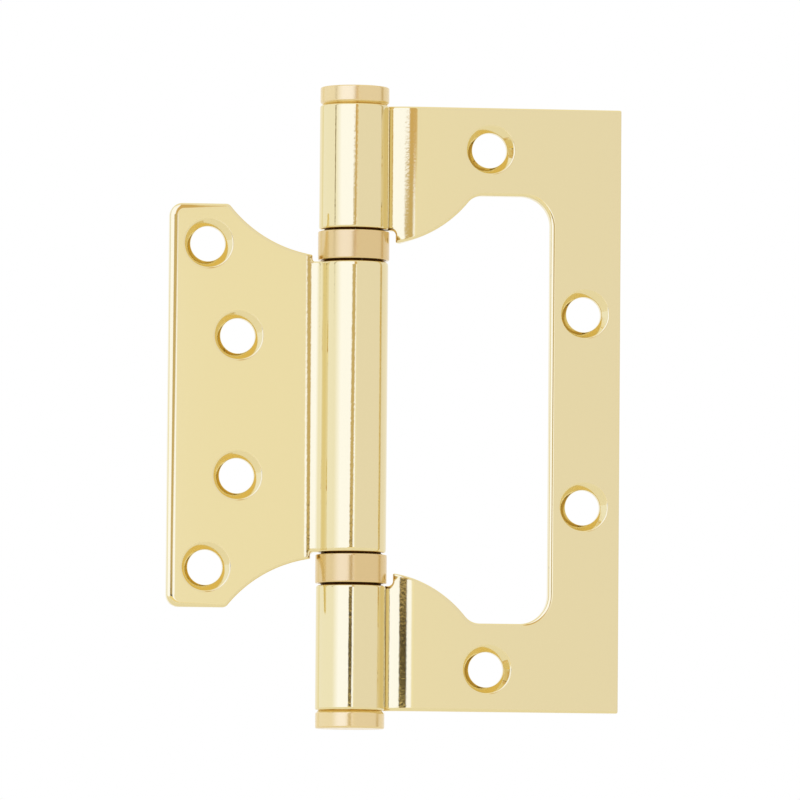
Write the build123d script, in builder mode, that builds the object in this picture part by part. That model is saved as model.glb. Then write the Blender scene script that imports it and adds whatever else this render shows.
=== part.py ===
from build123d import *
import os
from math import acos, asin, cos, degrees, isclose, pi, radians, sin, sqrt, tan

# Flush hinge, opened flat. Millimetres.
# The origin is on the pin's axis at mid height. +Z runs up the pin, the frame leaf reaches to +X and
# the door leaf to -X, both in the XZ plane, with their countersunk fronts facing -Y.

# Sheet and leaves
leaf_height = 100.0
sheet = 2.5
door_reach = 30.6
door_inset = 16.7
door_corner_radius = 2.1
nest_gap = 2.1
frame_strip = 11.7
frame_corner_radius = 0.3
cutout_corner_radius = 4.9
front_round = 0.35

# Pin and barrel
pin_radius = 3.2
pin_play = 0.05
pin_end_play = 0.2
pin_chamfer = 0.5
door_knuckle_length = 48.0
bearing_height = 5.4
seam_gap = 0.15

# The bend from each leaf's plane to its knuckles starts gently and then tightens
door_lead_radius = 8.0
door_lead_angle = 8.0
door_bend_radius = 4.0
frame_lead_radius = 13.5
frame_lead_angle = 8.4
frame_bend_radius = 8.0

# Where each leaf leaves the barrel
neck_reach = 1.05
neck_step = 1.1
neck_round = 0.5
notch_reach = 1.45
notch_round = 0.8
shoulder_radius = 21.6
shoulder_x = 3.7
shoulder_round = 1.0

# Screw holes: the frame leaf's end pair is set out from the pin, the others from the free edge
hole_radius = 2.9
countersink_radius = 4.0
countersink_angle = 90
frame_end_holes_x = 22.5
frame_end_holes_inset = 7.0
frame_middle_holes_edge = 6.0
frame_middle_spacing = 32.0
door_end_holes_edge = 6.4
door_end_holes_inset = 6.6
door_middle_holes_edge = 11.5
door_middle_spacing = 23.1

# Caps
cap_radius = 5.7
cap_height = 3.0
cap_edge_chamfer = 0.3
cap_joint_chamfer = 0.5
spigot_chamfer = 0.35
spigot_length = 4.0
spigot_fit = 0.02

# Bearings
shroud_radius = 5.9
shroud_wall = 0.5
shroud_setback = 0.35
shroud_chamfer = 0.2
race_fit = 0.02
race_play = 0.1
race_chamfer = 0.5
ball_radius = 1.0
ball_play = 0.02
ball_gap = 0.2
groove_angle = 90
groove_depth = 0.74

# Barrel sections that follow from the pin and the sheet
bore_radius = pin_radius + pin_play
knuckle_radius = bore_radius + sheet
roll_radius = bore_radius + sheet / 2
leaf_half = leaf_height / 2
door_knuckle_half = door_knuckle_length / 2
frame_knuckle_start = door_knuckle_half + bearing_height

# Outlines: the door leaf first, then the frame leaf's cut-out, which clears it all round
neck_x = knuckle_radius + neck_reach
neck_half = door_knuckle_half + neck_step
shoulder_z = neck_half + sqrt(shoulder_radius**2 - (neck_x - shoulder_x) ** 2)
door_half = leaf_half - door_inset
notch_x = knuckle_radius + notch_reach
cutout_x = door_reach + nest_gap
frame_reach = cutout_x + frame_strip
cutout_half = door_half + nest_gap
barrel_side = 2 * knuckle_radius
front_plane = Plane(origin=(0, -sheet / 2, 0), x_dir=(1, 0, 0), z_dir=(0, -1, 0))

# Bearings, measured from the balls' own plane
shroud_bore = shroud_radius - shroud_wall
pitch_radius = (pin_radius + shroud_bore) / 2
ball_count = int(2 * pi * pitch_radius / (2 * ball_radius + ball_gap))
groove_bottom = (ball_radius + ball_play) / sin(radians(groove_angle / 2))
groove_half = groove_depth * tan(radians(groove_angle / 2))
race_face = groove_bottom - groove_depth
bearing_half = bearing_height / 2
balls_z = door_knuckle_half + bearing_half


def rolled_section(reach, lead_radius, lead_angle, bend_radius):
    """Sheet seen from above: flat leaf to +X, two arcs to the back, then the roll round the pin.

    The wide lead-in arc turns the sheet by lead_angle. The tighter bend after it meets the roll at a
    tangent, at roll_start degrees round the pin. The roll ends at seam_angle, clear of the bend."""
    lead = radians(lead_angle)
    centre_distance = roll_radius + bend_radius
    bend_depth = lead_radius - (lead_radius - bend_radius) * cos(lead)
    roll_start = degrees(asin(bend_depth / centre_distance))
    bend_x = sqrt(centre_distance**2 - bend_depth**2)
    flat_x = bend_x + (lead_radius - bend_radius) * sin(lead)
    seam_radius = bend_radius + sheet / 2 + seam_gap
    seam_chord = knuckle_radius**2 + centre_distance**2 - seam_radius**2
    seam_angle = roll_start - degrees(acos(seam_chord / (2 * knuckle_radius * centre_distance)))
    with BuildSketch() as section:
        with BuildLine() as middle:
            Line((reach, 0), (flat_x, 0))
            CenterArc((flat_x, lead_radius), lead_radius, 270, -lead_angle)
            CenterArc((bend_x, bend_depth), bend_radius, 270 - lead_angle, roll_start + lead_angle - 90)
            CenterArc((0, 0), roll_radius, roll_start, 360 + seam_angle - roll_start)
        trace(middle.line, line_width=sheet)
    return section.sketch


def corners_at(outline, x, y):
    """An outline's corners at (x, y) and (x, -y)."""
    return outline.vertices().filter_by(
        lambda corner: isclose(corner.X, x, abs_tol=0.001) and isclose(abs(corner.Y), y, abs_tol=0.001)
    )


def leaf_outline(radius, near_x, half, far_x, barrel_half, inner_round, end_round, far_round):
    """Outline from the barrel to a straight far edge, with a hollow arc at each shoulder. Its corners
    are rounded beside the barrel, at the arc's far end and at the far edge."""
    start_angle = degrees(asin((near_x - shoulder_x) / radius)) - 90
    end_angle = -degrees(asin((shoulder_z - half) / radius))
    with BuildSketch() as outline:
        with BuildLine():
            arc = CenterArc((shoulder_x, shoulder_z), radius, start_angle, end_angle - start_angle)
            Polyline((-barrel_side, 0), (-barrel_side, barrel_half), (near_x, barrel_half), arc @ 0)
            Polyline(arc @ 1, (far_x, half), (far_x, 0), (-barrel_side, 0))
        make_face()
        mirror(about=Plane.XZ)
        fillet(corners_at(outline, near_x, barrel_half), inner_round)
        fillet(corners_at(outline, (arc @ 1).X, half), end_round)
        fillet(corners_at(outline, far_x, half), far_round)
    return outline.sketch


def flat_front_edges(leaf, bend_column):
    """Edges of a leaf's flat front, apart from the line where the bend starts."""
    front = leaf.faces().filter_by(Plane.XZ).sort_by(Axis.Y)[0]
    return front.edges() - front.edges().group_by(Axis.X)[bend_column]


def screw_places(end_x, end_z, middle_x, middle_z):
    """Four holes: a pair near the leaf's ends and a pair nearer its middle."""
    return [(end_x, end_z), (end_x, -end_z), (middle_x, middle_z), (middle_x, -middle_z)]


with BuildPart() as frame_leaf:
    with BuildSketch(Plane.XY.offset(-leaf_half)):
        add(rolled_section(frame_reach, frame_lead_radius, frame_lead_angle, frame_bend_radius))
    extrude(amount=leaf_height)
    fillet(frame_leaf.edges().filter_by(Axis.Y).group_by(Axis.X)[-1], frame_corner_radius)
    with BuildSketch(Plane.XZ):
        add(leaf_outline(shoulder_radius - nest_gap, notch_x, cutout_half, cutout_x,
                         frame_knuckle_start, notch_round, shoulder_round + nest_gap,
                         cutout_corner_radius))
    extrude(amount=barrel_side, both=True, mode=Mode.SUBTRACT)
    fillet(flat_front_edges(frame_leaf, 0), front_round)
    with Locations(front_plane):
        with Locations(*screw_places(frame_end_holes_x, leaf_half - frame_end_holes_inset,
                                     frame_reach - frame_middle_holes_edge,
                                     frame_middle_spacing / 2)):
            CounterSinkHole(hole_radius, countersink_radius, counter_sink_angle=countersink_angle)
frame_leaf.part.label = "frame_leaf"

# The door leaf is rolled the other way, over its front, so the two leaves lie in one plane when closed
with BuildPart() as door_leaf:
    with BuildSketch(Plane(origin=(0, 0, -door_half), x_dir=(-1, 0, 0), z_dir=(0, 0, 1))):
        add(rolled_section(door_reach, door_lead_radius, door_lead_angle, door_bend_radius))
    extrude(amount=2 * door_half)
    with BuildSketch(Plane(origin=(0, 0, 0), x_dir=(-1, 0, 0), z_dir=(0, 1, 0))):
        add(leaf_outline(shoulder_radius, neck_x, door_half, door_reach, door_knuckle_half,
                         neck_round, shoulder_round, door_corner_radius))
    extrude(amount=barrel_side, both=True, mode=Mode.INTERSECT)
    fillet(flat_front_edges(door_leaf, -1), front_round)
    with Locations(front_plane):
        with Locations(*screw_places(door_end_holes_edge - door_reach,
                                     door_half - door_end_holes_inset,
                                     door_middle_holes_edge - door_reach,
                                     door_middle_spacing / 2)):
            CounterSinkHole(hole_radius, countersink_radius, counter_sink_angle=countersink_angle)
door_leaf.part.label = "door_leaf"

pin_half = leaf_half - spigot_length - pin_end_play / 2
with BuildPart() as hinge_pin:
    with BuildSketch(Plane.XY.offset(-pin_half)):
        Circle(pin_radius)
    extrude(amount=2 * pin_half)
    chamfer(hinge_pin.edges().filter_by(GeomType.CIRCLE), pin_chamfer)
hinge_pin.part.label = "hinge_pin"

# Cap: a flat button that covers the knuckle's end, on a spigot pressed in the knuckle's bore
with BuildPart() as top_cap:
    with BuildSketch(Plane.XY.offset(leaf_half)):
        Circle(cap_radius)
    extrude(amount=cap_height)
    chamfer(top_cap.edges().sort_by(Axis.Z)[0], cap_joint_chamfer)
    chamfer(top_cap.edges().sort_by(Axis.Z)[-1], cap_edge_chamfer)
    with BuildSketch(Plane.XY.offset(leaf_half)):
        Circle(bore_radius - spigot_fit)
    extrude(amount=-spigot_length)
    chamfer(top_cap.edges().sort_by(Axis.Z)[0], spigot_chamfer)
top_cap.part.label = "top_cap"

with BuildPart() as bottom_cap:
    mirror(top_cap.part, about=Plane.XY)
bottom_cap.part.label = "bottom_cap"

pieces = [frame_leaf.part, door_leaf.part, hinge_pin.part, top_cap.part, bottom_cap.part]

# Each bearing lies between the door leaf's knuckle and one of the frame leaf's. The shroud is pressed
# on the race beside the door's knuckle and runs free of the other race.
for bearing, side in (("upper", 1), ("lower", -1)):
    middle_z = side * balls_z
    with BuildPart() as shroud:
        with BuildSketch(Plane.XY.offset(middle_z)):
            Circle(shroud_radius)
            Circle(shroud_bore, mode=Mode.SUBTRACT)
        extrude(amount=bearing_half - shroud_setback, both=True)
        rims = shroud.edges().filter_by(GeomType.CIRCLE).group_by(SortBy.RADIUS)[-1]
        chamfer(rims, shroud_chamfer)
    shroud.part.label = f"{bearing}_bearing_shroud"
    pieces.append(shroud.part)

    # Each race has a V groove, whose two sides the balls run on
    for race_name, race_side in (("top_race", 1), ("bottom_race", -1)):
        held_by_shroud = race_side != side
        race_radius = shroud_bore - (race_fit if held_by_shroud else race_play)
        with BuildPart() as race:
            with BuildSketch(Plane((0, 0, middle_z), x_dir=(1, 0, 0), z_dir=(0, -1, 0))):
                with BuildLine():
                    Polyline((pin_radius + race_play, race_side * race_face),
                             (pitch_radius - groove_half, race_side * race_face),
                             (pitch_radius, race_side * groove_bottom),
                             (pitch_radius + groove_half, race_side * race_face),
                             (race_radius, race_side * race_face),
                             (race_radius, race_side * (bearing_half - race_chamfer)),
                             (race_radius - race_chamfer, race_side * bearing_half),
                             (pin_radius + race_play, race_side * bearing_half), close=True)
                make_face()
            revolve(axis=Axis.Z)
        race.part.label = f"{bearing}_bearing_{race_name}"
        pieces.append(race.part)

    for number, place in enumerate(PolarLocations(pitch_radius, ball_count)):
        with BuildPart() as ball:
            with Locations(Location((0, 0, middle_z)) * place):
                Sphere(ball_radius)
        ball.part.label = f"{bearing}_bearing_ball_{number + 1}"
        pieces.append(ball.part)

os.makedirs("parts", exist_ok=True)
for piece in pieces:
    export_step(piece, f"parts/{piece.label}.step")
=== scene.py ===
"""Flush hinge, open flat: the finishes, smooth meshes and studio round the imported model.

Everything is in metres, in the model's own frame: the pin's axis is Z, the large frame leaf reaches to
+X, the small door leaf to -X, and their countersunk fronts face -Y. Helpers that draw an outline work
in millimetres and say so.
"""

from math import acos, asin, atan2, ceil, cos, degrees, pi, radians, sin, sqrt

import bmesh
import bpy
from mathutils import Matrix, Vector


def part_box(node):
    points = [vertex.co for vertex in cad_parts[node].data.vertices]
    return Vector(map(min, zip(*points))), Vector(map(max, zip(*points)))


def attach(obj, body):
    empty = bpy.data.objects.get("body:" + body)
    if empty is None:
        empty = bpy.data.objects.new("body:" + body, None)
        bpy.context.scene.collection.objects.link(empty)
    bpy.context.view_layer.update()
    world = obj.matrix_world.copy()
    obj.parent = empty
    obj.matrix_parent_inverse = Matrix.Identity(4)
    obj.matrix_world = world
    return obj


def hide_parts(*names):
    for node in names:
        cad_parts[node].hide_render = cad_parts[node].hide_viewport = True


bl_info = {
    "name": "Flush hinge",
    "version": (1, 0, 0),
    "blender": (4, 5, 0),
    "location": "View3D > Sidebar > Hinge",
    "description": "Builds the leaves, barrel, bearings, finishes and studio of a flush hinge",
    "category": "Object",
}

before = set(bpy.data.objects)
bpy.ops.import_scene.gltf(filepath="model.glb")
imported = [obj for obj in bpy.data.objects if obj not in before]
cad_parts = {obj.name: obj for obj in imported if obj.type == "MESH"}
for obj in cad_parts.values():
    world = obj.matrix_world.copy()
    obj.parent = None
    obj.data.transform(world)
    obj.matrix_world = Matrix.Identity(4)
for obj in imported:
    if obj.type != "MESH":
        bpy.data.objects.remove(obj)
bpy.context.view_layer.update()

MM = 0.001

# How fine the meshes are: millimetres from a rounding to the holding point beside it and from an arc to
# its chords, then steps round a section's corner, a turned piece and a ball
HOLD = 0.04
CHORD_ERROR = 0.004
PROFILE_STEPS = 5
TURNED_STEPS = 128
BALL_STEPS = 32

# Points closer together than this many metres are merged
SAME_PLACE = 1e-7

# Shares of a punched edge's full roll-over width
SEAM_SHARE = 0.15
TIGHT_SHARE = 0.5
SHOULDER_SHARE = 0.6
CUT_OUT_SHARE = 0.7
KNUCKLE_SHARE = 0.9

# Where a Mix node has its two colours among the inputs, and the mixed one among the outputs
FIRST_COLOUR, SECOND_COLOUR, MIXED_COLOUR = 6, 7, 2

# Width in pixels of the picture that the focal length is given for
PICTURE_WIDTH = 800

BENDS = ("Lead-in", "Bend", "Roll")
BEND_SIZES = ("start", "length", "radius")
BEND_INPUTS = tuple(f"{bend} {size}" for bend in BENDS for size in BEND_SIZES)


def box_mm(node):
    """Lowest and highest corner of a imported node, in millimetres."""
    low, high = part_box(node)
    return low / MM, high / MM


frame_high = box_mm("frame_leaf")[1]
door_low, door_high = box_mm("door_leaf")
cap_high = box_mm("top_cap")[1]
shroud_high = box_mm("upper_bearing_shroud")[1]


def length_property(name, description, default):
    """A length in millimetres that a user may change."""
    return bpy.props.FloatProperty(name=name, description=description, default=default, min=0.0,
                                   precision=3)


def metres_property(name, description, default):
    """A place or distance in metres that a user may change."""
    return bpy.props.FloatProperty(name=name, description=description, default=default, unit="LENGTH")


def degrees_property(name, description, default):
    """An angle in degrees that a user may change."""
    return bpy.props.FloatProperty(name=name, description=description, default=default)


def colour_property(name, description, colour):
    """A colour that a user may change."""
    return bpy.props.FloatVectorProperty(name=name, description=description, default=colour, size=3,
                                         subtype="COLOR", min=0.0, max=1.0)


def linear(hex_colour):
    """An sRGB hex colour as linear red, green and blue."""
    channels = [int(hex_colour[n:n + 2], 16) / 255 for n in (1, 3, 5)]
    return tuple(c / 12.92 if c <= 0.04045 else ((c + 0.055) / 1.055) ** 2.4 for c in channels)


def add_node(tree, kind, inputs=None, **settings):
    """Adds a node with its settings. An input takes a value, or a link from another node's output."""
    new = tree.nodes.new(kind)
    for name, value in settings.items():
        setattr(new, name, value)
    for key, value in (inputs or {}).items():
        if isinstance(value, bpy.types.NodeSocket):
            tree.links.new(value, new.inputs[key])
        else:
            new.inputs[key].default_value = value
    return new


def linked(name, data):
    """A new object in the scene, at the origin."""
    obj = bpy.data.objects.new(name, data)
    bpy.context.scene.collection.objects.link(obj)
    return obj


def arc_points(centre, radius, start, end):
    """Points of an arc in millimetres and degrees, as close together as the chord error asks."""
    step = 2 * acos(1 - CHORD_ERROR / radius)
    count = max(2, ceil(abs(radians(end - start)) / step))
    angles = [radians(start + (end - start) * n / count) for n in range(count + 1)]
    return [Vector((centre[0] + radius * cos(a), centre[1] + radius * sin(a))) for a in angles]


def inset_arc(arc, distance):
    """The arc's points, moved into the metal by a share of the distance. The share runs evenly from the
    arc's start to its end. Past its own radius a convex corner closes to one point."""
    centre, radius, start, end, first_share, last_share = arc
    middle = Vector(centre)
    outline = arc_points(centre, radius, start, end)
    inwards = 1 if end < start else -1
    least = radius + inwards * distance * max(first_share, last_share)
    if least < 0:
        half_turn = radians(end - start) / 2
        bisector = radians(start) + half_turn
        return [middle + Vector((cos(bisector), sin(bisector))) * least / cos(half_turn)] * len(outline)
    points = []
    for n, point in enumerate(outline):
        share = first_share + (last_share - first_share) * n / (len(outline) - 1)
        points.append(middle + (point - middle) * (radius + inwards * distance * share) / radius)
    return points


def both_halves(upper):
    """A closed outline from the arcs of its upper half and their mirror images in the line z = 0."""
    lower = []
    for (x, z), radius, start, end, first_share, last_share in reversed(upper):
        lower.append(((x, -z), radius, -end, -start, last_share, first_share))
    return upper + lower


def shoulder(radius, half, round_radius, centre):
    """Small arc between the big shoulder arc and the straight edge at z = half: centre and angle."""
    rise = centre[1] - (half - round_radius)
    run = sqrt((radius + round_radius) ** 2 - rise**2)
    return (centre[0] + run, half - round_radius), degrees(atan2(rise, -run))


def round_corners(corners):
    """A section's points. A corner (x, y, before, after) is rounded over those lengths of its two sides,
    with a holding point just outside the rounding, so that the flats next to it shade flat. The first
    and last corner aren't among the points: they only give the section's end sides their direction."""
    points = []
    for first, corner, last in zip(corners, corners[1:], corners[2:]):
        middle = Vector(corner[:2])
        towards_first = (Vector(first[:2]) - middle).normalized()
        towards_last = (Vector(last[:2]) - middle).normalized()
        start = middle + towards_first * corner[2]
        end = middle + towards_last * corner[3]
        points.append(start + towards_first * HOLD)
        for n in range(PROFILE_STEPS + 1):
            t = n / PROFILE_STEPS
            points.append(start * (1 - t) ** 2 + middle * 2 * t * (1 - t) + end * t**2)
        points.append(end + towards_last * HOLD)
    return points


def closed_loft(mesh, rings):
    """Skins closed rings of points with quads."""
    made = [[mesh.verts.new(p) for p in ring] for ring in rings]
    for near, far in zip(made, made[1:]):
        for n in range(len(near)):
            m = (n + 1) % len(near)
            mesh.faces.new((near[n], near[m], far[m], far[n]))


def finish_mesh(mesh, name):
    """Merges doubles, turns faces outward and returns a linked, smooth object."""
    bmesh.ops.remove_doubles(mesh, verts=mesh.verts[:], dist=SAME_PLACE)
    bmesh.ops.dissolve_degenerate(mesh, edges=mesh.edges[:], dist=SAME_PLACE / 10)
    bmesh.ops.recalc_face_normals(mesh, faces=mesh.faces[:])
    data = bpy.data.meshes.new(name)
    mesh.to_mesh(data)
    mesh.free()
    data.polygons.foreach_set("use_smooth", [True] * len(data.polygons))
    return linked(name, data)


def apply_modifiers(obj):
    """Puts the object's evaluated shape, as a plain mesh, in place of the modifiers that made it."""
    evaluated = obj.evaluated_get(bpy.context.evaluated_depsgraph_get())
    data = bpy.data.meshes.new_from_object(evaluated)
    obj.modifiers.clear()
    obj.data = data
    obj.data.name = obj.name


class SheetSettings(bpy.types.PropertyGroup):
    """Sheet and the way it is bent, in millimetres."""

    thickness: length_property("Thickness", "Sheet thickness", 2.5)
    bore: length_property("Bore radius", "Inner radius of a rolled knuckle", 3.25)
    frame_lead_radius: length_property("Frame lead-in", "Radius of the large leaf's gentle first arc", 13.5)
    frame_bend_radius: length_property("Frame bend", "Radius of the large leaf's bend to its knuckles", 8.0)
    door_lead_radius: length_property("Door lead-in", "Radius of the small leaf's gentle first arc", 8.0)
    door_bend_radius: length_property("Door bend", "Radius of the small leaf's bend to its knuckle", 4.0)
    seam_gap: length_property("Seam gap", "Gap between the roll's end and the leaf", 0.15)
    roll_over_width: length_property("Roll-over width", "Width of the punched edge's rounding", 0.75)
    roll_over_depth: length_property("Roll-over depth", "Depth of the punched edge's rounding", 0.35)
    back_round: length_property("Back rounding", "Rounding of the edge on the other face", 0.45)
    frame_lead_angle: degrees_property("Frame lead-in turn", "Turn of that first arc, in degrees", 8.4)
    door_lead_angle: degrees_property("Door lead-in turn", "Turn of that first arc, in degrees", 8.0)
    bend_step: bpy.props.FloatProperty(
        name="Bend step",
        description="Degrees from one bend line to the next",
        default=3.0,
        min=0.5,
    )


class LeafSettings(bpy.types.PropertyGroup):
    """Outline and screw holes of both leaves, in millimetres."""

    shoulder_x: length_property("Shoulder x", "Centre of the hollow shoulders along X", 3.7)
    shoulder_z: length_property("Shoulder z", "Centre of the hollow shoulders along Z", 46.48)
    shoulder_radius: length_property("Shoulder radius", "Radius of the small leaf's hollow shoulders", 21.6)
    nest_gap: length_property("Nesting gap", "Gap all round the small leaf when closed", 2.1)
    shoulder_round: length_property("Shoulder rounding", "Small leaf's corner beside the shoulder", 1.0)
    door_corner: length_property("Door corner", "Outer corner radius of the small leaf", 2.1)
    frame_corner: length_property("Frame corner", "Outer corner radius of the large leaf", 0.3)
    cut_out_corner: length_property("Cut-out corner", "Inner corner radius of the cut-out", 4.9)
    cut_out_reach: length_property("Cut-out reach", "Distance from the axis to the cut-out's far side", 32.7)
    cut_out_half: length_property("Cut-out half height", "Half the cut-out's height", 35.4)
    neck: length_property("Neck", "From the pin's axis to the small leaf's neck", 6.8)
    notch: length_property("Notch", "From the pin's axis to the large leaf's notches", 7.2)
    neck_round: length_property("Neck rounding", "Hollow corner at the small leaf's neck", 0.5)
    notch_round: length_property("Notch rounding", "Hollow corner in the large leaf's notches", 0.8)
    tab_round: length_property("Tab rounding", "Sharp corner between neck or notch and shoulder", 0.2)
    seam_round: length_property("Seam rounding", "Corners of a leaf's rolled end", 0.7)
    door_knuckle_half: length_property("Middle knuckle", "Half the middle knuckle's length", 24.0)
    frame_knuckle_start: length_property("End knuckles", "Where the end knuckles begin", 29.4)
    hole_radius: length_property("Hole radius", "Screw hole radius", 2.9)
    countersink: length_property("Countersink radius", "Countersink radius at the leaf's front", 4.0)
    frame_end_hole_x: length_property("Frame end hole x", "End holes of the large leaf along X", 22.5)
    frame_end_hole_z: length_property("Frame end hole z", "End holes of the large leaf along Z", 43.0)
    frame_middle_hole_x: length_property("Frame middle hole x", "Middle holes of the large leaf", 38.4)
    frame_middle_hole_z: length_property("Frame middle hole z", "Middle holes of the large leaf", 16.0)
    door_end_hole_x: length_property("Door end hole x", "End holes of the small leaf along X", 24.2)
    door_end_hole_z: length_property("Door end hole z", "End holes of the small leaf along Z", 26.7)
    door_middle_hole_x: length_property("Door middle hole x", "Middle holes of the small leaf", 19.1)
    door_middle_hole_z: length_property("Door middle hole z", "Middle holes of the small leaf", 11.55)


def bend_sizes(sheet, lead_radius, lead_angle, bend_radius):
    """A leaf's three bends in millimetres, and then where its blank ends. Each bend is where it starts on
    the flat blank, its length along the blank and its radius, which is negative for the roll because
    that turns the other way."""
    lead = radians(lead_angle)
    outer = sheet.bore + sheet.thickness
    roll_radius = sheet.bore + sheet.thickness / 2
    centres = roll_radius + bend_radius
    bend_depth = lead_radius - (lead_radius - bend_radius) * cos(lead)
    roll_start = asin(bend_depth / centres)
    start = sqrt(centres**2 - bend_depth**2) + (lead_radius - bend_radius) * sin(lead)
    seam_reach = bend_radius + sheet.thickness / 2 + sheet.seam_gap
    seam = roll_start - acos((outer**2 + centres**2 - seam_reach**2) / (2 * outer * centres))
    bend_turn = pi / 2 - roll_start - lead
    roll_turn = 2 * pi + seam - roll_start
    bends = []
    for radius, turn in ((lead_radius, lead), (bend_radius, bend_turn), (-roll_radius, roll_turn)):
        bends.append((start, abs(radius) * turn, radius))
        start -= abs(radius) * turn
    return bends, start


def developed(bends, x):
    """Where a place on the finished leaf's second bend, x from the pin's axis, lies on the flat blank."""
    (flat_x, lead_length, lead_radius), (start, _, bend_radius), _ = bends
    lead = lead_length / lead_radius
    bend_x = flat_x - (lead_radius - bend_radius) * sin(lead)
    return start - bend_radius * (asin((bend_x - x) / bend_radius) - lead)


def frame_outline(leaf, bends, seam):
    """Arcs round the large leaf's blank, anticlockwise from its free edge. The last two values of each
    are the share of the full roll-over width at its start and end, which is less in tight places."""
    centre = (leaf.shoulder_x, leaf.shoulder_z)
    radius = leaf.shoulder_radius - leaf.nest_gap
    reach, half, start = frame_high.x, frame_high.z, leaf.frame_knuckle_start
    corner, cut_out_corner = leaf.frame_corner, leaf.cut_out_corner
    seam_round, notch_round, tab_round = leaf.seam_round, leaf.notch_round, leaf.tab_round
    notch = developed(bends, leaf.notch)
    tab_x = notch + tab_round
    tab_run = tab_x - centre[0]
    tab_z = centre[1] - sqrt((radius - tab_round) ** 2 - tab_run**2)
    tab_angle = degrees(atan2(tab_z - centre[1], tab_run))
    round_radius = leaf.shoulder_round + leaf.nest_gap
    hollow_centre, hollow_angle = shoulder(radius, leaf.cut_out_half, round_radius, centre)
    return both_halves([
        ((reach - corner, half - corner), corner, 0, 90, TIGHT_SHARE, TIGHT_SHARE),
        ((seam + seam_round, half - seam_round), seam_round, 90, 180, KNUCKLE_SHARE, SEAM_SHARE),
        ((seam + seam_round, start + seam_round), seam_round, 180, 270, SEAM_SHARE, KNUCKLE_SHARE),
        ((notch - notch_round, start - notch_round), notch_round, 90, 0, KNUCKLE_SHARE, TIGHT_SHARE),
        ((tab_x, tab_z), tab_round, 180, 360 + tab_angle, TIGHT_SHARE, TIGHT_SHARE),
        (centre, radius, tab_angle, hollow_angle - 180, TIGHT_SHARE, CUT_OUT_SHARE),
        (hollow_centre, round_radius, hollow_angle, 90, CUT_OUT_SHARE, CUT_OUT_SHARE),
        ((leaf.cut_out_reach - cut_out_corner, leaf.cut_out_half - cut_out_corner),
         cut_out_corner, 90, 0, CUT_OUT_SHARE, 1.0),
    ])


def door_outline(leaf, bends, seam):
    """Arcs round the small leaf's blank, as if it reached to +X, anticlockwise from its free edge, with
    their shares of the full roll-over width. The free edge was rounded widest."""
    centre = (leaf.shoulder_x, leaf.shoulder_z)
    radius = leaf.shoulder_radius
    reach, half = -door_low.x, door_high.z
    corner, knuckle = leaf.door_corner, leaf.door_knuckle_half
    seam_round, neck_round, tab_round = leaf.seam_round, leaf.neck_round, leaf.tab_round
    neck = developed(bends, leaf.neck)
    tab_x = neck + tab_round
    tab_run = tab_x - centre[0]
    tab_z = centre[1] - sqrt((radius + tab_round) ** 2 - tab_run**2)
    tab_angle = degrees(atan2(centre[1] - tab_z, -tab_run))
    round_centre, round_angle = shoulder(radius, half, leaf.shoulder_round, centre)
    free_edge_share, end_share = 1.75, 1.1
    return both_halves([
        ((reach - corner, half - corner), corner, 0, 90, free_edge_share, end_share),
        (round_centre, leaf.shoulder_round, 90, round_angle, SHOULDER_SHARE, SHOULDER_SHARE),
        (centre, radius, round_angle - 180, tab_angle - 180, SHOULDER_SHARE, TIGHT_SHARE),
        ((tab_x, tab_z), tab_round, tab_angle, 180, TIGHT_SHARE, TIGHT_SHARE),
        ((neck - neck_round, knuckle + neck_round), neck_round, 0, -90, TIGHT_SHARE, KNUCKLE_SHARE),
        ((seam + seam_round, knuckle - seam_round), seam_round, 90, 180, KNUCKLE_SHARE, SEAM_SHARE),
    ])


def leaf_blank(name, outline, holes, front, sheet, leaf, bends):
    """The flat punched blank, drawn in millimetres: X along the sheet, Y through it and Z up.

    front is the side of the countersinks, +1 or -1 along Y. Sections are (distance into the metal, depth
    from the front), and their end sides run on into the metal along both faces."""
    mesh = bmesh.new()
    thickness = sheet.thickness
    beyond = 5.0
    mouth_round, throat_round = 0.15, 0.12
    edge = round_corners([
        (beyond, 0),
        (0, 0, sheet.roll_over_width, sheet.roll_over_depth),
        (0, thickness, sheet.back_round, sheet.back_round),
        (beyond, thickness),
    ])
    cone = leaf.countersink - leaf.hole_radius
    hole_edge = round_corners([
        (beyond, 0),
        (cone, 0, mouth_round, mouth_round),
        (0, cone, throat_round, throat_round),
        (0, thickness, throat_round, throat_round),
        (beyond, thickness),
    ])
    for section, arcs in [(edge, outline)] + [(hole_edge, arcs) for arcs in holes]:
        rings = []
        for inset, depth in section:
            y = front * (thickness / 2 - depth)
            rings.append([(p.x, y, p.y) for arc in arcs for p in inset_arc(arc, inset)])
        closed_loft(mesh, rings)
    bmesh.ops.remove_doubles(mesh, verts=mesh.verts[:], dist=SAME_PLACE / MM)
    for side in (1, -1):
        rims = [e for e in mesh.edges if e.is_boundary and e.verts[0].co.y * side > 0]
        bmesh.ops.triangle_fill(mesh, use_beauty=True, edges=rims)

    # Bend lines, after two that keep the flat leaf's shading flat up to the first bend
    first_bend = bends[0][0]
    lines = [first_bend + 2 * HOLD, first_bend + HOLD]
    for start, length, radius in bends:
        steps = ceil(degrees(length / abs(radius)) / sheet.bend_step)
        lines += [start - length * n / steps for n in range(steps)]
    on_line = 1e-6
    for x in lines:
        near = [f for f in mesh.faces if min(v.co.x for v in f.verts) < x < max(v.co.x for v in f.verts)]
        parts = set(near) | {e for f in near for e in f.edges} | {v for f in near for v in f.verts}
        bmesh.ops.bisect_plane(mesh, geom=list(parts), plane_co=(x, 0, 0), plane_no=(1, 0, 0), dist=on_line)
    bmesh.ops.scale(mesh, vec=(MM, MM, MM), verts=mesh.verts[:])
    return finish_mesh(mesh, name)


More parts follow.
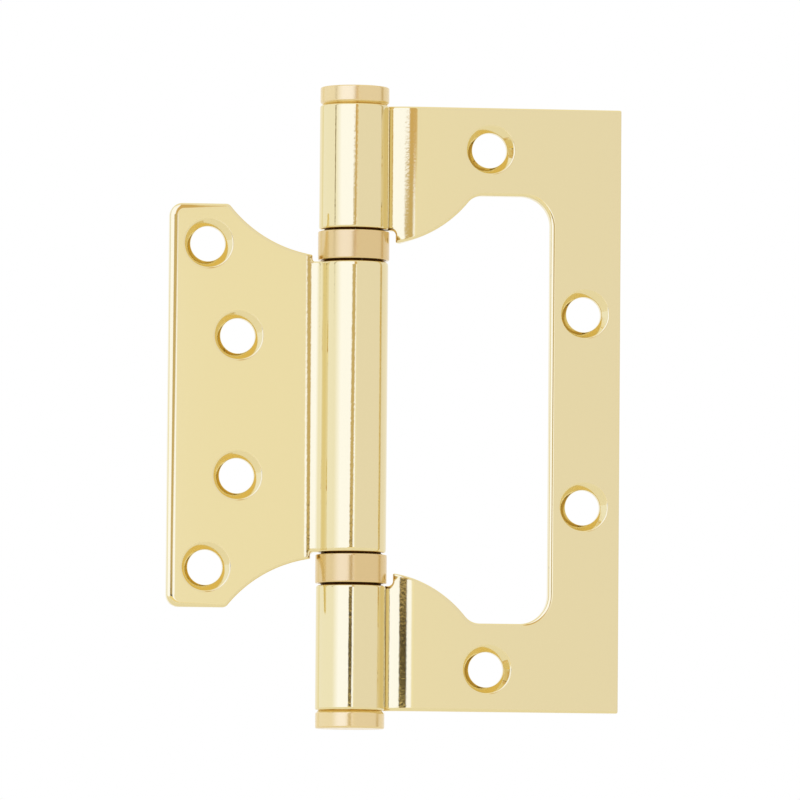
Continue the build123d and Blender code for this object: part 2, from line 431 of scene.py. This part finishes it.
def bend_tree(material):
    """Geometry Nodes that bend a flat blank three times: two arcs off the leaf's plane, then the roll
    round the pin. Each bend moves all of the blank beyond its start."""
    tree = bpy.data.node_groups.new("rolled_leaf", "GeometryNodeTree")
    tree.interface.new_socket("Geometry", in_out="INPUT", socket_type="NodeSocketGeometry")
    for name in BEND_INPUTS + ("Side",):
        tree.interface.new_socket(name, in_out="INPUT", socket_type="NodeSocketFloat")
    tree.interface.new_socket("Geometry", in_out="OUTPUT", socket_type="NodeSocketGeometry")
    given = add_node(tree, "NodeGroupInput").outputs
    bent = add_node(tree, "GeometryNodeInputPosition").outputs[0]
    blank_x = add_node(tree, "ShaderNodeSeparateXYZ", {0: bent}).outputs["X"]

    # The roll first, while the rest is flat, and the bend next to the flat leaf last
    for bend in reversed(BENDS):
        start, length, radius = (given[f"{bend} {size}"] for size in BEND_SIZES)
        past = add_node(tree, "ShaderNodeMath", {0: start, 1: blank_x}, operation="SUBTRACT").outputs[0]
        taken = add_node(tree, "ShaderNodeClamp", {"Value": past, "Min": 0.0, "Max": length}).outputs[0]
        pulled_in = add_node(tree, "ShaderNodeCombineXYZ", {"X": taken}).outputs[0]
        flat = add_node(tree, "ShaderNodeVectorMath", {0: bent, 1: pulled_in}, operation="ADD").outputs[0]
        turn = add_node(tree, "ShaderNodeMath", {0: taken, 1: radius}, operation="DIVIDE").outputs[0]
        backwards = add_node(tree, "ShaderNodeMath", {0: turn, 1: -1.0}, operation="MULTIPLY").outputs[0]
        centre = add_node(tree, "ShaderNodeCombineXYZ", {"X": start, "Y": radius}).outputs[0]
        bent = add_node(tree, "ShaderNodeVectorRotate", {
            "Vector": flat,
            "Center": centre,
            "Angle": backwards,
        }, rotation_type="Z_AXIS").outputs[0]

    # A side of -1 turns the leaf half round the pin, to the other side
    side, blank = given["Side"], given["Geometry"]
    facing = add_node(tree, "ShaderNodeCombineXYZ", {"X": side, "Y": side, "Z": 1.0}).outputs[0]
    turned = add_node(tree, "ShaderNodeVectorMath", {0: bent, 1: facing}, operation="MULTIPLY").outputs[0]
    moved = add_node(tree, "GeometryNodeSetPosition", {"Geometry": blank, "Position": turned}).outputs[0]
    real = add_node(tree, "GeometryNodeRealizeInstances", {"Geometry": moved}).outputs[0]
    finished = add_node(tree, "GeometryNodeSetMaterial", {"Geometry": real, "Material": material}).outputs[0]
    add_node(tree, "NodeGroupOutput", {"Geometry": finished})
    return tree


def set_inputs(modifier, values):
    """Sets a Geometry Nodes modifier's inputs by their sockets' identifiers."""
    for socket in modifier.node_group.interface.items_tree:
        if socket.in_out == "INPUT" and socket.name in values:
            modifier[socket.identifier] = values[socket.name]


def metal(name, colour, roughness):
    """A new metal material, and its node tree and shader."""
    material = bpy.data.materials.new(name)
    material.use_nodes = True
    tree = material.node_tree
    shader = tree.nodes["Principled BSDF"]
    shader.inputs["Base Color"].default_value = (*colour, 1)
    shader.inputs["Metallic"].default_value = 1.0
    shader.inputs["Roughness"].default_value = roughness
    return material, tree, shader


def brass_plate(finish):
    """Bright brass plate on pressed steel: a pale gold mirror. The sheet was stretched round the pin, so
    the plate over it is a little rippled, and the edges of reflections waver."""
    material, tree, shader = metal("polished_brass_plate", finish.plate, 0.05)
    place = add_node(tree, "ShaderNodeTexCoord").outputs["Object"]
    ripple_length, ripple_depth = 0.5 * MM, 0.006 * MM
    rolled_within, flat_beyond = 8 * MM, 10.5 * MM
    ripple = add_node(tree, "ShaderNodeTexNoise", {
        "Vector": place,
        "Scale": 1 / ripple_length,
        "Detail": 3.0,
        "Roughness": 0.6,
    }).outputs[0]
    across = add_node(tree, "ShaderNodeSeparateXYZ", {0: place}).outputs["X"]
    from_pin = add_node(tree, "ShaderNodeMath", {0: across}, operation="ABSOLUTE").outputs[0]
    stretched = add_node(tree, "ShaderNodeMapRange", {
        "Value": from_pin,
        "From Min": rolled_within,
        "From Max": flat_beyond,
        "To Min": 1.0,
        "To Max": 0.1,
    }).outputs[0]
    bump = add_node(tree, "ShaderNodeBump", {
        "Height": ripple,
        "Strength": stretched,
        "Distance": ripple_depth,
    }).outputs[0]
    tree.links.new(bump, shader.inputs["Normal"])
    return material


def marks_round_pin(tree, pitch, draw_out, detail):
    """Fine noise in rings round the pin, as a tool leaves them: drawn out by that scale across the pin."""
    place = add_node(tree, "ShaderNodeTexCoord").outputs["Object"]
    rings = add_node(tree, "ShaderNodeMapping", {"Vector": place, "Scale": (draw_out, draw_out, 1.0)})
    return add_node(tree, "ShaderNodeTexNoise", {
        "Vector": rings.outputs[0],
        "Scale": 1 / pitch,
        "Detail": detail,
    }).outputs[0]


def turned_brass(name, colour):
    """Turned brass under the same polish: redder than the plate, with fine rings left by the lathe."""
    material, tree, shader = metal(name, colour, 0.19)
    ring_pitch, ring_depth = 0.12 * MM, 0.0015 * MM
    rings = marks_round_pin(tree, ring_pitch, 0.02, 3.0)
    bump = add_node(tree, "ShaderNodeBump", {"Height": rings, "Strength": 1.0, "Distance": ring_depth})
    tree.links.new(bump.outputs[0], shader.inputs["Normal"])
    return material


def ground_steel(finish):
    """Hardened and ground steel: grey, with fine marks round the pin from the grinding wheel."""
    material, tree, shader = metal("ground_steel", finish.steel, 0.28)
    mark_width = 0.06 * MM
    marks = marks_round_pin(tree, mark_width, 0.05, 2.0)
    shine = add_node(tree, "ShaderNodeMapRange", {"Value": marks, "To Min": 0.22, "To Max": 0.36}).outputs[0]
    tree.links.new(shine, shader.inputs["Roughness"])
    return material


def painted_shade_race_steel(finish):
    """Race steel with painted shade: dark brown for the shade in the barrel's gaps, and plain grey steel in
    a few small spots.
    """
    material, tree, shader = metal("greased_race_steel", finish.steel, 0.35)
    place = add_node(tree, "ShaderNodeTexCoord").outputs["Object"]
    spot_size = 0.4 * MM
    shaded_below, steel_above = 0.66, 0.70
    spots = add_node(tree, "ShaderNodeTexNoise", {
        "Vector": place,
        "Scale": 1 / spot_size,
        "Detail": 2.0,
    }).outputs[0]
    unshaded = add_node(tree, "ShaderNodeMapRange", {
        "Value": spots,
        "From Min": shaded_below,
        "From Max": steel_above,
    }).outputs[0]
    # Painted shade: the dark brown covers the race except where the noise spots leave grey steel
    colour = add_node(tree, "ShaderNodeMix", {
        0: unshaded,
        FIRST_COLOUR: (*finish.grease, 1),
        SECOND_COLOUR: (*finish.steel, 1),
    }, data_type="RGBA").outputs[MIXED_COLOUR]
    tree.links.new(colour, shader.inputs["Base Color"])
    return material


def ball_steel(finish):
    """Polished chrome steel of a bearing ball: nearly a mirror, with a faint haze."""
    material, tree, shader = metal("polished_ball_steel", finish.steel, 0.05)
    place = add_node(tree, "ShaderNodeTexCoord").outputs["Object"]
    haze_size = 0.5 * MM
    haze = add_node(tree, "ShaderNodeTexNoise", {"Vector": place, "Scale": 1 / haze_size}).outputs[0]
    shine = add_node(tree, "ShaderNodeMapRange", {"Value": haze, "To Min": 0.03, "To Max": 0.08}).outputs[0]
    tree.links.new(shine, shader.inputs["Roughness"])
    return material


class BarrelSettings(bpy.types.PropertyGroup):
    """Caps, shrouds and balls, in millimetres."""

    cap_radius: length_property("Cap radius", "Radius of the caps", cap_high.x)
    cap_round: length_property("Cap rounding", "Rounding of a cap's outer edge", 0.3)
    cap_chamfer: length_property("Cap chamfer", "Chamfer where a cap meets its knuckle", 0.5)
    spigot_chamfer: length_property("Spigot chamfer", "Chamfer at the spigot's end", 0.35)
    spigot_radius: length_property("Spigot radius", "Radius of the spigot in the knuckle", 3.23)
    spigot_length: length_property("Spigot length", "Length of the spigot", 4.0)
    shroud_radius: length_property("Shroud radius", "Outer radius of a bearing's shroud", shroud_high.x)
    shroud_wall: length_property("Shroud wall", "Wall of a bearing's shroud", 0.5)
    shroud_round: length_property("Shroud rounding", "Rounding of a shroud's outer edges", 0.25)
    pitch_radius: length_property("Pitch radius", "Radius of the circle of ball centres", 4.3)
    ball_radius: length_property("Ball radius", "Radius of a bearing ball", 1.0)
    broken_edge: length_property("Broken edges", "Rounding of edges that are only just broken", 0.05)
    ball_count: bpy.props.IntProperty(
        name="Ball count",
        description="Balls in each bearing",
        default=12,
        min=3,
    )


class FinishSettings(bpy.types.PropertyGroup):
    """Colours of the finishes."""

    plate: colour_property("Brass plate", "Colour of the plated leaves", linear("#ECDCA6"))
    cap: colour_property("Cap brass", "Colour of the turned caps", linear("#EAD299"))
    shroud: colour_property("Shroud brass", "Colour of the turned bearing shrouds", linear("#E2C68B"))
    steel: colour_property("Steel", "Colour of the pin, races and balls", linear("#C9C9CC"))
    # Dark brown painted on the races as the shade in the barrel's ring gaps
    grease: colour_property("Race_shade", "Colour of the grease on the races", linear("#7C5A2C"))


def turned_piece(name, section, closed):
    """A solid of revolution about the pin's axis, from a section of (radius, height) in millimetres."""
    mesh = bmesh.new()
    if closed:
        points = round_corners(section[-1:] + section + section[:1])
        points.append(points[0])
    else:
        points = [Vector(section[0][:2])] + round_corners(section) + [Vector(section[-1][:2])]
    turns = [2 * pi * n / TURNED_STEPS for n in range(TURNED_STEPS)]
    rings = [[(p.x * cos(a), p.x * sin(a), p.y) for a in turns] for p in points]
    closed_loft(mesh, rings)
    bmesh.ops.scale(mesh, vec=(MM, MM, MM), verts=mesh.verts[:])
    return finish_mesh(mesh, name)


def ball_tree(material):
    """Geometry Nodes for one bearing's balls, evenly spaced on a circle round the pin."""
    tree = bpy.data.node_groups.new("ball_circle", "GeometryNodeTree")
    tree.interface.new_socket("Geometry", in_out="INPUT", socket_type="NodeSocketGeometry")
    tree.interface.new_socket("Ball count", in_out="INPUT", socket_type="NodeSocketInt")
    for name in ("Pitch radius", "Ball radius", "Height"):
        tree.interface.new_socket(name, in_out="INPUT", socket_type="NodeSocketFloat")
    tree.interface.new_socket("Geometry", in_out="OUTPUT", socket_type="NodeSocketGeometry")
    given = add_node(tree, "NodeGroupInput").outputs
    circle = add_node(tree, "GeometryNodeMeshCircle", {
        "Vertices": given["Ball count"],
        "Radius": given["Pitch radius"],
    }).outputs[0]
    ball = add_node(tree, "GeometryNodeMeshUVSphere", {
        "Segments": BALL_STEPS,
        "Rings": BALL_STEPS // 2,
        "Radius": given["Ball radius"],
    }).outputs[0]
    balls = add_node(tree, "GeometryNodeInstanceOnPoints", {"Points": circle, "Instance": ball}).outputs[0]
    lift = add_node(tree, "ShaderNodeCombineXYZ", {"Z": given["Height"]}).outputs[0]
    placed = add_node(tree, "GeometryNodeTransform", {"Geometry": balls, "Translation": lift}).outputs[0]
    real = add_node(tree, "GeometryNodeRealizeInstances", {"Geometry": placed}).outputs[0]
    smooth = add_node(tree, "GeometryNodeSetShadeSmooth", {"Geometry": real}).outputs[0]
    finished = add_node(tree, "GeometryNodeSetMaterial", {
        "Geometry": smooth,
        "Material": material,
    }).outputs[0]
    add_node(tree, "NodeGroupOutput", {"Geometry": finished})
    return tree


class HINGE_OT_leaves(bpy.types.Operator):
    """Punch, roll and plate both leaves"""

    bl_idname = "hinge.leaves"
    bl_label = "Leaves"

    def execute(self, context):
        scene = context.scene
        sheet, leaf = scene.hinge_sheet, scene.hinge_leaves
        tree = bend_tree(brass_plate(scene.hinge_finish))
        frame_places = [(leaf.frame_end_hole_x, leaf.frame_end_hole_z),
                        (leaf.frame_middle_hole_x, leaf.frame_middle_hole_z)]
        door_places = [(leaf.door_end_hole_x, leaf.door_end_hole_z),
                       (leaf.door_middle_hole_x, leaf.door_middle_hole_z)]
        frame_bend = (sheet.frame_lead_radius, sheet.frame_lead_angle, sheet.frame_bend_radius)
        door_bend = (sheet.door_lead_radius, sheet.door_lead_angle, sheet.door_bend_radius)
        leaves = (
            ("frame", 1, frame_outline, frame_places, frame_bend),
            ("door", -1, door_outline, door_places, door_bend),
        )
        for body, side, make_outline, places, bend in leaves:
            node = body + "_leaf"
            bends, seam = bend_sizes(sheet, *bend)
            outline = make_outline(leaf, bends, seam)
            centres = [(x, z * end) for x, z in places for end in (1, -1)]
            holes = [[(centre, leaf.hole_radius, 360, 0, 1, 1)] for centre in centres]
            piece = leaf_blank("plated_" + node, outline, holes, -side, sheet, leaf, bends)
            modifier = piece.modifiers.new("Rolled leaf", "NODES")
            modifier.node_group = tree
            values = dict(zip(BEND_INPUTS, [size * MM for sizes in bends for size in sizes]))
            values["Side"] = float(side)
            set_inputs(modifier, values)
            apply_modifiers(piece)
            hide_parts(node)
            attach(piece, body)
        return {"FINISHED"}


class HINGE_OT_barrel(bpy.types.Operator):
    """Turn the caps and the bearing shrouds"""

    bl_idname = "hinge.barrel"
    bl_label = "Barrel"

    def execute(self, context):
        barrel, finish = context.scene.hinge_barrel, context.scene.hinge_finish
        cap_brass = turned_brass("turned_cap_brass", finish.cap)
        shroud_brass = turned_brass("turned_shroud_brass", finish.shroud)
        broken, chamfer_round = barrel.broken_edge, 2 * barrel.broken_edge
        for node, end in (("top_cap", 1), ("bottom_cap", -1)):
            face = end * frame_high.z
            tip = end * cap_high.z
            root = end * (frame_high.z - barrel.spigot_length)
            cap = turned_piece("turned_" + node, [
                (0, root),
                (barrel.spigot_radius, root, barrel.spigot_chamfer, barrel.spigot_chamfer),
                (barrel.spigot_radius, face, broken, broken),
                (barrel.cap_radius - barrel.cap_chamfer, face, broken, broken),
                (barrel.cap_radius, face + end * barrel.cap_chamfer, chamfer_round, chamfer_round),
                (barrel.cap_radius, tip, barrel.cap_round, barrel.cap_round),
                (0, tip),
            ], False)
            cap.data.materials.append(cap_brass)
            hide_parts(node)
            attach(cap, "frame")
        for bearing in ("upper", "lower"):
            node = bearing + "_bearing_shroud"
            low, high = box_mm(node)
            outer = barrel.shroud_radius
            inner = outer - barrel.shroud_wall
            edge = barrel.shroud_round
            shroud = turned_piece("turned_" + node, [
                (inner, low.z, broken, broken),
                (outer, low.z, edge / 2, edge),
                (outer, high.z, edge, edge / 2),
                (inner, high.z, broken, broken),
            ], True)
            shroud.data.materials.append(shroud_brass)
            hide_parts(node)
            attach(shroud, "door")
        return {"FINISHED"}


class HINGE_OT_bearings(bpy.types.Operator):
    """Set the balls in their races and finish the steel inside the barrel"""

    bl_idname = "hinge.bearings"
    bl_label = "Bearings"

    def execute(self, context):
        barrel, finish = context.scene.hinge_barrel, context.scene.hinge_finish
        pin_steel, race_steel = ground_steel(finish), painted_shade_race_steel(finish)
        for node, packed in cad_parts.items():
            if node == "hinge_pin" or node.endswith("_race"):
                packed.data.materials.clear()
                packed.data.materials.append(pin_steel if node == "hinge_pin" else race_steel)
        tree = ball_tree(ball_steel(finish))
        for bearing in ("upper", "lower"):
            nodes = [f"{bearing}_bearing_ball_{n + 1}" for n in range(barrel.ball_count)]
            low, high = box_mm(nodes[0])
            name = bearing + "_bearing_balls"
            balls = linked(name, bpy.data.meshes.new(name))
            modifier = balls.modifiers.new("Balls", "NODES")
            modifier.node_group = tree
            set_inputs(modifier, {
                "Ball count": barrel.ball_count,
                "Pitch radius": barrel.pitch_radius * MM,
                "Ball radius": barrel.ball_radius * MM,
                "Height": (low.z + high.z) / 2 * MM,
            })
            apply_modifiers(balls)
            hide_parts(*nodes)
            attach(balls, bearing + "_ball_ring")
        return {"FINISHED"}


class StudioSettings(bpy.types.PropertyGroup):
    """Camera and room, in metres and degrees."""

    distance: metres_property("Distance", "From the pin to the camera's plane", 1.5)
    camera_x: metres_property("Camera x", "Camera to the side of the pin", -0.1696)
    camera_z: metres_property("Camera z", "Camera below mid height", -0.100)
    yaw: degrees_property("Yaw", "Turn to the right, in degrees", 6.749)
    pitch: degrees_property("Pitch", "Tilt upwards, in degrees", 3.840)
    roll: degrees_property("Roll", "Roll, in degrees", 0.466)
    drum_radius: metres_property("Drum radius", "Radius of the studio's wall", 1.7)
    drum_top: metres_property("Drum top", "Height of the wall's upper edge", 1.6)
    floor_z: metres_property("Floor z", "Height of the floor", -0.17)
    floor_reach: metres_property("Floor reach", "From the pin to the floor's edges", 4.0)
    focal_pixels: bpy.props.FloatProperty(
        name="Focal length",
        description="In pixels of an 800 pixel wide picture",
        default=9168.0,
    )


def wall_ramp(tree, share, bands):
    """A colour ramp round the wall from (degrees, light) pairs."""
    ramp = add_node(tree, "ShaderNodeValToRGB", {"Fac": share})
    stops = ramp.color_ramp.elements
    stops.remove(stops[1])
    for n, (angle, light) in enumerate(bands):
        place = (angle + 180) / 360
        stop = stops[0] if n == 0 else stops.new(place)
        stop.position = place
        stop.color = (*light, 1)
    return ramp.outputs[0]


def wall_bands():
    """The wall's light round the compass, low down and high up, as (degrees, light) pairs. 0 degrees is
    straight in front and positive is to the right. A softbox stands to the left of the camera, and
    darker slits draw the lines along the barrel."""
    white, cool = (1.0, 1.0, 1.0), (0.93, 0.93, 1.02)
    softbox, side = (1.19, 1.33, 2.05), (1.01, 1.06, 1.22)
    dim, line, dark_line = (0.92, 0.91, 0.80), (0.66, 0.56, 0.40), (0.25, 0.18, 0.08)
    behind = [(-180, white), (-142, white), (-139, dim), (-133, dim), (-130, side)]
    dark_slit = [(-74, side), (-73, dark_line), (-71, dark_line), (-70, side)]
    ahead_and_right = [(3, softbox), (4, white), (5.5, white), (9, cool), (92, cool), (95, line),
                       (102, line), (106, cool), (180, white)]
    low_bands = behind + [(-68, side), (-46, softbox)] + ahead_and_right
    high_bands = behind + dark_slit + [(-50, softbox)] + ahead_and_right
    return low_bands, high_bands


def by_height(tree, height, between, below, above):
    """A value that changes evenly between two heights on the wall."""
    low, high = between
    return add_node(tree, "ShaderNodeMapRange", {
        "Value": height,
        "From Min": low,
        "From Max": high,
        "To Min": below,
        "To Max": above,
    }).outputs[0]


def camera_slit(tree, height, compass):
    """The slit next to the camera: how far each place on the wall lies in it, and its colour there. It
    leans to the right as it rises, bends aside near its top and is widest below. Its colour is amber
    at the floor and black, brown and orange further up."""
    widest_below, leaning, bent_aside = (-0.05, -0.03), (0.07, 0.165), (0.190, 0.202)
    black_from, brown_from = (-0.008, 0.003), (0.045, 0.055)
    outside_edge, inside_edge = -1.2, 0.4
    degrees_round = add_node(tree, "ShaderNodeMath", {0: compass}, operation="DEGREES").outputs[0]
    middle = add_node(tree, "ShaderNodeMath", {
        0: by_height(tree, height, leaning, -7.5, -3.5),
        1: by_height(tree, height, bent_aside, 0.0, 4.5),
    }, operation="ADD").outputs[0]
    aside = add_node(tree, "ShaderNodeMath", {0: degrees_round, 1: middle}, operation="SUBTRACT").outputs[0]
    aside = add_node(tree, "ShaderNodeMath", {0: aside}, operation="ABSOLUTE").outputs[0]
    half_width = add_node(tree, "ShaderNodeMath", {
        0: by_height(tree, height, widest_below, 11.0, 5.0),
        1: by_height(tree, height, bent_aside, 0.0, -1.0),
    }, operation="ADD").outputs[0]
    within = add_node(tree, "ShaderNodeMath", {0: half_width, 1: aside}, operation="SUBTRACT").outputs[0]
    in_slit = add_node(tree, "ShaderNodeMapRange", {
        "Value": within,
        "From Min": outside_edge,
        "From Max": inside_edge,
    }).outputs[0]
    amber, black = (1.0, 0.88, 0.55, 1), (0.04, 0.03, 0.02, 1)
    brown, orange = (0.66, 0.54, 0.32, 1), (0.72, 0.52, 0.26, 1)
    colour = amber
    for between, above in ((black_from, black), (brown_from, brown), (bent_aside, orange)):
        colour = add_node(tree, "ShaderNodeMix", {
            0: by_height(tree, height, between, 0.0, 1.0),
            FIRST_COLOUR: colour,
            SECOND_COLOUR: above,
        }, data_type="RGBA").outputs[MIXED_COLOUR]
    return in_slit, colour


def wall_light():
    """Light of the studio's wall, which gives the mirror of brass plate its bands: one ring of bands low
    down, another high up, and the slit next to the camera over both."""
    material = bpy.data.materials.new("studio_wall")
    material.use_nodes = True
    tree = material.node_tree
    tree.nodes.clear()
    place = add_node(tree, "ShaderNodeTexCoord").outputs["Object"]
    split = add_node(tree, "ShaderNodeSeparateXYZ", {0: place}).outputs
    height = split["Z"]
    ahead = add_node(tree, "ShaderNodeMath", {0: split["Y"], 1: -1.0}, operation="MULTIPLY").outputs[0]
    compass = add_node(tree, "ShaderNodeMath", {0: split["X"], 1: ahead}, operation="ARCTAN2").outputs[0]
    share = add_node(tree, "ShaderNodeMapRange", {
        "Value": compass,
        "From Min": -pi,
        "From Max": pi,
    }).outputs[0]
    low_bands, high_bands = wall_bands()
    bands_change = (0.165, 0.175)
    around = add_node(tree, "ShaderNodeMix", {
        0: by_height(tree, height, bands_change, 0.0, 1.0),
        FIRST_COLOUR: wall_ramp(tree, share, low_bands),
        SECOND_COLOUR: wall_ramp(tree, share, high_bands),
    }, data_type="RGBA").outputs[MIXED_COLOUR]
    in_slit, slit = camera_slit(tree, height, compass)
    seen = add_node(tree, "ShaderNodeMix", {
        0: in_slit,
        FIRST_COLOUR: around,
        SECOND_COLOUR: slit,
    }, data_type="RGBA").outputs[MIXED_COLOUR]
    light = add_node(tree, "ShaderNodeEmission", {"Color": seen}).outputs[0]
    add_node(tree, "ShaderNodeOutputMaterial", {"Surface": light})
    return material


def drum_wall(studio):
    """Curved wall round the object, open at the top and seen only in reflections."""
    mesh = bmesh.new()
    radius, steps = studio.drum_radius, 180
    turns = [2 * pi * n / steps for n in range(steps)]
    heights = (studio.floor_z, studio.drum_top)
    closed_loft(mesh, [[(radius * cos(a), radius * sin(a), z) for a in turns] for z in heights])
    bmesh.ops.reverse_faces(mesh, faces=mesh.faces[:])
    data = bpy.data.meshes.new("studio_drum")
    mesh.to_mesh(data)
    mesh.free()
    data.materials.append(wall_light())
    wall = linked("studio_drum", data)
    wall.visible_camera = False
    wall.visible_diffuse = False
    wall.visible_shadow = False


def white_world(scene):
    """White behind everything and in every reflection, and a slightly stronger white on dull surfaces."""
    world = bpy.data.worlds.new("white_studio")
    scene.world = world
    world.use_nodes = True
    tree = world.node_tree
    tree.nodes.clear()
    path = add_node(tree, "ShaderNodeLightPath").outputs
    seen = path["Is Camera Ray"]
    for kind in ("Is Glossy Ray", "Is Transmission Ray"):
        seen = add_node(tree, "ShaderNodeMath", {0: seen, 1: path[kind]}, operation="MAXIMUM").outputs[0]
    lighting = add_node(tree, "ShaderNodeBackground", {"Color": (1, 1, 1, 1), "Strength": 1.05}).outputs[0]
    backdrop = add_node(tree, "ShaderNodeBackground", {"Color": (1, 1, 1, 1), "Strength": 1.0}).outputs[0]
    mixed = add_node(tree, "ShaderNodeMixShader", {0: seen, 1: lighting, 2: backdrop}).outputs[0]
    add_node(tree, "ShaderNodeOutputWorld", {"Surface": mixed})


def pale_floor(studio):
    """Plain pale floor, matt."""
    material = bpy.data.materials.new("pale_floor")
    material.use_nodes = True
    shader = material.node_tree.nodes["Principled BSDF"]
    shader.inputs["Base Color"].default_value = (*linear("#F2F1EE"), 1)
    shader.inputs["Roughness"].default_value = 0.9
    reach, z = studio.floor_reach, studio.floor_z
    corners = [(-reach, -reach, z), (reach, -reach, z), (reach, reach, z), (-reach, reach, z)]
    data = bpy.data.meshes.new("floor")
    data.from_pydata(corners, [], [(0, 1, 2, 3)])
    data.materials.append(material)
    linked("floor", data)


def place_camera(scene, studio):
    """A long lens to the left of the pin and below mid height, turned right and tilted upwards."""
    data = bpy.data.cameras.new("camera")
    data.sensor_width = 36.0
    data.lens = studio.focal_pixels / PICTURE_WIDTH * data.sensor_width
    data.clip_end = 20.0
    camera = linked("camera", data)
    camera.location = (studio.camera_x, -studio.distance, studio.camera_z)
    heading = Matrix.Rotation(radians(-studio.yaw), 4, "Z")
    tilt = Matrix.Rotation(pi / 2 + radians(studio.pitch), 4, "X")
    lean = Matrix.Rotation(radians(studio.roll), 4, "Z")
    camera.rotation_euler = (heading @ tilt @ lean).to_euler()
    scene.camera = camera


class HINGE_OT_stage(bpy.types.Operator):
    """Set up the floor, the white wall and the camera"""

    bl_idname = "hinge.stage"
    bl_label = "Stage"

    def execute(self, context):
        scene = context.scene
        studio = scene.hinge_studio
        scene.view_settings.view_transform = "Standard"
        white_world(scene)
        drum_wall(studio)
        pale_floor(studio)
        place_camera(scene, studio)
        return {"FINISHED"}


class HINGE_PT_panel(bpy.types.Panel):
    """The hinge's sizes, finishes and build steps"""

    bl_label = "Flush hinge"
    bl_space_type = "VIEW_3D"
    bl_region_type = "UI"
    bl_category = "Hinge"

    def draw(self, context):
        for operator in ("hinge.leaves", "hinge.barrel", "hinge.bearings", "hinge.stage"):
            self.layout.operator(operator)
        for pointer in pointers:
            group = getattr(context.scene, pointer)
            column = self.layout.column()
            for name in group.__annotations__:
                column.prop(group, name)


pointers = {
    "hinge_sheet": SheetSettings,
    "hinge_leaves": LeafSettings,
    "hinge_barrel": BarrelSettings,
    "hinge_finish": FinishSettings,
    "hinge_studio": StudioSettings,
}
classes = (*pointers.values(), HINGE_OT_leaves, HINGE_OT_barrel, HINGE_OT_bearings, HINGE_OT_stage,
           HINGE_PT_panel)


def register():
    """Registers the classes and gives each scene its settings."""
    for cls in classes:
        bpy.utils.register_class(cls)
    for name, group in pointers.items():
        setattr(bpy.types.Scene, name, bpy.props.PointerProperty(type=group))


def unregister():
    """Undoes register."""
    for name in pointers:
        delattr(bpy.types.Scene, name)
    for cls in reversed(classes):
        bpy.utils.unregister_class(cls)


def main():
    """Builds the hinge and its studio."""
    register()
    bpy.ops.hinge.leaves()
    bpy.ops.hinge.barrel()
    bpy.ops.hinge.bearings()
    bpy.ops.hinge.stage()


if __name__ == "__main__":
    main()
